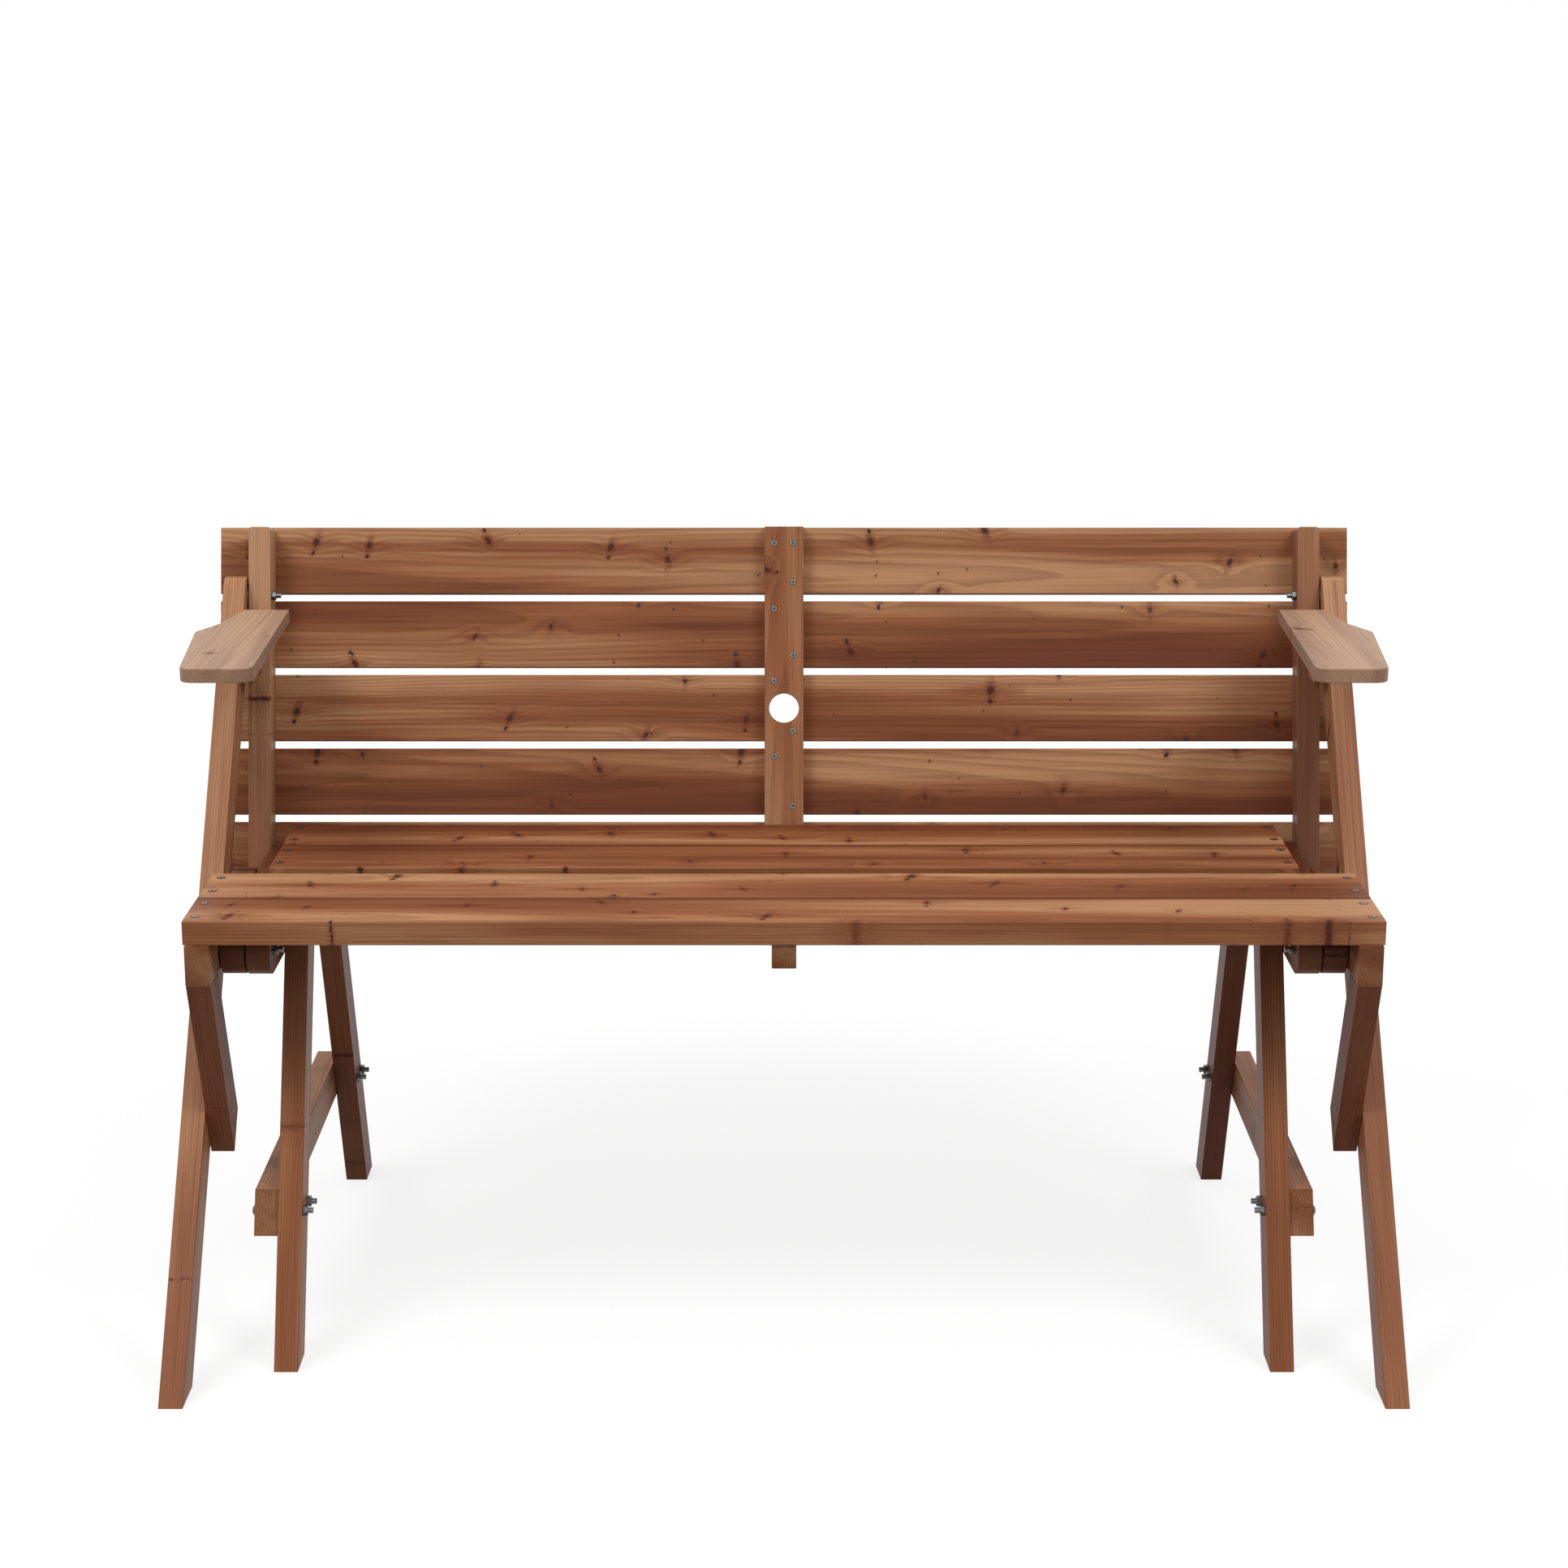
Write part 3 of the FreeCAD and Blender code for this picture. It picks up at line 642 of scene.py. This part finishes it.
def tapered_head():
    middle = (0, 0, PROUD - HEAD_HEIGHT / 2)
    bpy.ops.mesh.primitive_cylinder_add(vertices=24, radius=HEAD_RADIUS, depth=HEAD_HEIGHT, location=middle)
    head = bpy.context.object
    bpy.ops.object.transform_apply(location=True, rotation=True, scale=True)
    edit_faces(head, lambda face: face.normal.z < -0.9)
    bpy.ops.transform.resize(value=(0.45, 0.45, 1.0))
    bpy.ops.object.mode_set(mode="OBJECT")
    edit_faces(head, lambda face: face.normal.z > 0.9)
    bpy.ops.mesh.bevel(offset=0.00022, segments=2)
    bpy.ops.object.mode_set(mode="OBJECT")
    return head


head = tapered_head()
print("head faces:", len(head.data.polygons))

# %% [markdown]
# The cross recess is cut by two bars, each taken away by a Boolean modifier. Insets and
# extrusions could make it too, but they would need the cross drawn in the round face first.
# The recess ends just above the wood, so that its floor is steel.

# %% The cross recess
RECESS_FLOOR, BAR_HEIGHT = 0.0001, 0.0010


def cut_cross(piece):
    for turn in (0, math.pi / 2):
        bpy.ops.object.select_all(action="DESELECT")
        bpy.ops.mesh.primitive_cube_add(size=1, location=(0, 0, RECESS_FLOOR + BAR_HEIGHT / 2))
        bar = bpy.context.object
        bar.scale = (HEAD_RADIUS * 1.25, HEAD_RADIUS * 0.28, BAR_HEIGHT)
        bar.rotation_euler.z = turn
        select_only(piece)
        recess = piece.modifiers.new("recess", "BOOLEAN")
        recess.operation, recess.object = "DIFFERENCE", bar
        bpy.ops.object.modifier_apply(modifier=recess.name)
        bpy.data.objects.remove(bar)


cut_cross(head)
print("head faces with its recess:", len(head.data.polygons))

# %% [markdown]
# The cross recess is too shallow for its own shade, so that shade is painted: the recess gets a darker
# steel of its own. Its faces are the ones near the middle and between the wood and the head's upper face.

# %% Painted shade in the recess
def paint_recess_shade(piece):
    piece.data.materials.append(screw_steel)
    piece.data.materials.append(recess_shade_steel)
    for face in piece.data.polygons:
        near = face.center.xy.length < HEAD_RADIUS * 0.75
        sunk = RECESS_FLOOR * 0.5 < face.center.z < PROUD * 0.9
        face.material_index = 1 if near and sunk else 0
    return sum(face.material_index for face in piece.data.polygons)


print("recess faces:", paint_recess_shade(head))

# %% [markdown]
# Each group of screws is one object whose origin is the bench's, so that it moves with the right frame. A
# place is a point and the way the head faces. Every head is turned a different amount, as a hand leaves
# them. The heads in the seats catch a bright reflection, so those groups get a lighter steel: a painted
# highlight.

# %% Copy the head to its places
def screws(name, places, facing, body):
    copies = []
    for index, place in enumerate(places):
        select_only(head)
        bpy.ops.object.duplicate()
        copy = bpy.context.object
        turn = Vector(facing).to_track_quat("Z", "Y").to_matrix().to_4x4()
        spin = Matrix.Rotation(index * 2.4, 4, "Z")
        copy.matrix_world = Matrix.Translation(place) @ turn @ spin
        copies.append(copy)
    select_only(*copies)
    bpy.ops.object.join()
    bpy.ops.object.transform_apply(location=True, rotation=True, scale=True)
    group = bpy.context.object
    group.name = name
    # The seat screws get the lighter steel as a painted highlight.
    if "seat" in name:
        group.data.materials[0] = painted_highlight_steel
    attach(group, body)
    return group


print("screw copies ready")

# %% [markdown]
# The seats are screwed down to the rails, the slats to their battens from the back, the centre
# batten to the slats from the front, and the struts to the legs from inside. Each group rides
# on the body of the board it is driven into.

# %% All the screws
def screw_group(name, places):
    facing, body = (0, 0, 1), "front_frame"
    if name.startswith("rear_seat"):
        body = "rear_frame"
    elif name.startswith("strut"):
        facing = (1, 0, 0) if name.endswith("left") else (-1, 0, 0)
    elif name.startswith("slat"):
        facing, body = BACK, "table"
    elif name == "centre_batten":
        facing, body = -BACK, "table"
    return screws(name + "_screws", places, facing, body)


groups = [screw_group(name, places) for name, places in PLACES.items()]
bpy.data.objects.remove(head)
print("groups of screws:", len(groups))

# %% [markdown]
# ## Floor, light and camera
#
# The picture has a white ground with only a faint shadow. More light would give that white and
# wash the wood out. Instead, rays from the camera and from shiny surfaces see a white floor
# and sky, and all other rays see a grey floor and a dimmer sky. The undersides of the boards
# stay dark.

# %% Rays that see white
def white_rays(graph):
    path = graph.node("ShaderNodeLightPath")
    seen = Value(graph, path.outputs["Is Camera Ray"])
    for ray in ("Is Glossy Ray", "Is Transmission Ray"):
        seen = seen.math("MAXIMUM", Value(graph, path.outputs[ray]))
    return seen


print("ray switch ready")

# %% [markdown]
# The floor is one large plane. What the camera sees of it is part glow and part plain diffuse
# colour, and the diffuse part keeps the bench's shadow. The glow rises to full white further
# out, so that the floor meets the sky without a line.

# %% Floor
GLOW_NEAR, GLOW_RISE = 0.78, 0.20


def plain_floor():
    bpy.ops.mesh.primitive_plane_add(size=400, location=(0, 0, 0))
    floor = bpy.context.object
    floor.name = "floor"
    graph = Graph("floor_white")
    grey = graph.out("ShaderNodeBsdfDiffuse", {"Color": (0.30, 0.30, 0.30, 1)})
    pale = graph.out("ShaderNodeBsdfDiffuse", {"Color": (0.20, 0.20, 0.20, 1)})
    place = graph.out("ShaderNodeTexCoord", output="Object")
    away = graph.out("ShaderNodeVectorMath", {0: place}, "Value", operation="LENGTH")
    level = away.step(0.9, 5.0) * GLOW_RISE + GLOW_NEAR
    white = graph.out("ShaderNodeEmission", {"Color": combine(level, level, level), "Strength": 1.0})
    shown = graph.out("ShaderNodeAddShader", {0: pale, 1: white})
    shader = graph.out("ShaderNodeMixShader", {0: white_rays(graph), 1: grey, 2: shown})
    graph.node("ShaderNodeOutputMaterial", {"Surface": shader})
    floor.data.materials.append(graph.material)


plain_floor()
print("floor ready")

# %% [markdown]
# The sky stands for a large soft light overhead. It is brighter above than at the horizon, so
# that seats and armrests are lighter than the boards' sides. It is the world's own node tree,
# which `Graph` can build as soon as it is given that tree.

# %% Sky
class Sky(Graph):
    def __init__(self, name):
        self.world = bpy.data.worlds.new(name)
        self.world.use_nodes = True
        self.tree = self.world.node_tree
        self.tree.nodes.clear()


def studio_sky(low, top):
    sky = Sky("studio")
    way = sky.out("ShaderNodeTexCoord", output="Generated")
    level = dot(way, (0, 0, 1)).step(0.0, 0.9) * (top - low) + low
    light = sky.out("ShaderNodeBackground", {"Color": combine(level, level, level), "Strength": 1.0})
    white = sky.out("ShaderNodeBackground", {"Color": (1, 1, 1, 1), "Strength": 1.0})
    shader = sky.out("ShaderNodeMixShader", {0: white_rays(sky), 1: light, 2: white})
    sky.node("ShaderNodeOutputWorld", {"Surface": shader})
    bpy.context.scene.world = sky.world


studio_sky(low=0.24, top=1.05)
print("sky ready")

# %% [markdown]
# Two large round lamps stand in front, high up on either side, the left one a little stronger.
# Their size keeps the shadows soft. A sun lamp would draw them hard, unlike the photograph.

# %% Lamps
def area_lamp(name, location, target, size, power):
    bpy.ops.object.light_add(type="AREA", location=location)
    lamp = bpy.context.object
    lamp.name = name
    lamp.data.shape, lamp.data.size, lamp.data.energy = "DISK", size, power
    lamp.rotation_mode = "QUATERNION"
    lamp.rotation_quaternion = (Vector(target) - Vector(location)).to_track_quat("-Z", "Y")


area_lamp("left", location=(-2.5, -2.0, 4.0), target=(0, 0, 0.5), size=1.8, power=100)
area_lamp("right", location=(2.5, -2.0, 4.0), target=(0, 0, 0.5), size=1.8, power=88)
print("lamps ready")

# %% [markdown]
# The camera stands 3.23 m in front of the bench's middle and 1.36 m up, tipped down by the
# same angle as the backrest's lean, so that it sees the backrest square on. These values were
# fitted to the photograph's measured edges.

# %% Camera
PICTURE_PIXELS, FOCAL_PIXELS, SENSOR = 1932, 3820, 36

scene = bpy.context.scene
camera_data = bpy.data.cameras.new("camera")
camera = bpy.data.objects.new("camera", camera_data)
scene.collection.objects.link(camera)
camera.location = (0, -3.230, 1.360)
camera.rotation_euler = (math.radians(90 - TABLE_LEAN), 0, 0)
camera_data.sensor_width = SENSOR
camera_data.lens = SENSOR * FOCAL_PIXELS / PICTURE_PIXELS
camera_data.clip_end = 500
scene.camera = camera
scene.view_settings.view_transform = "Standard"
print("camera ready")
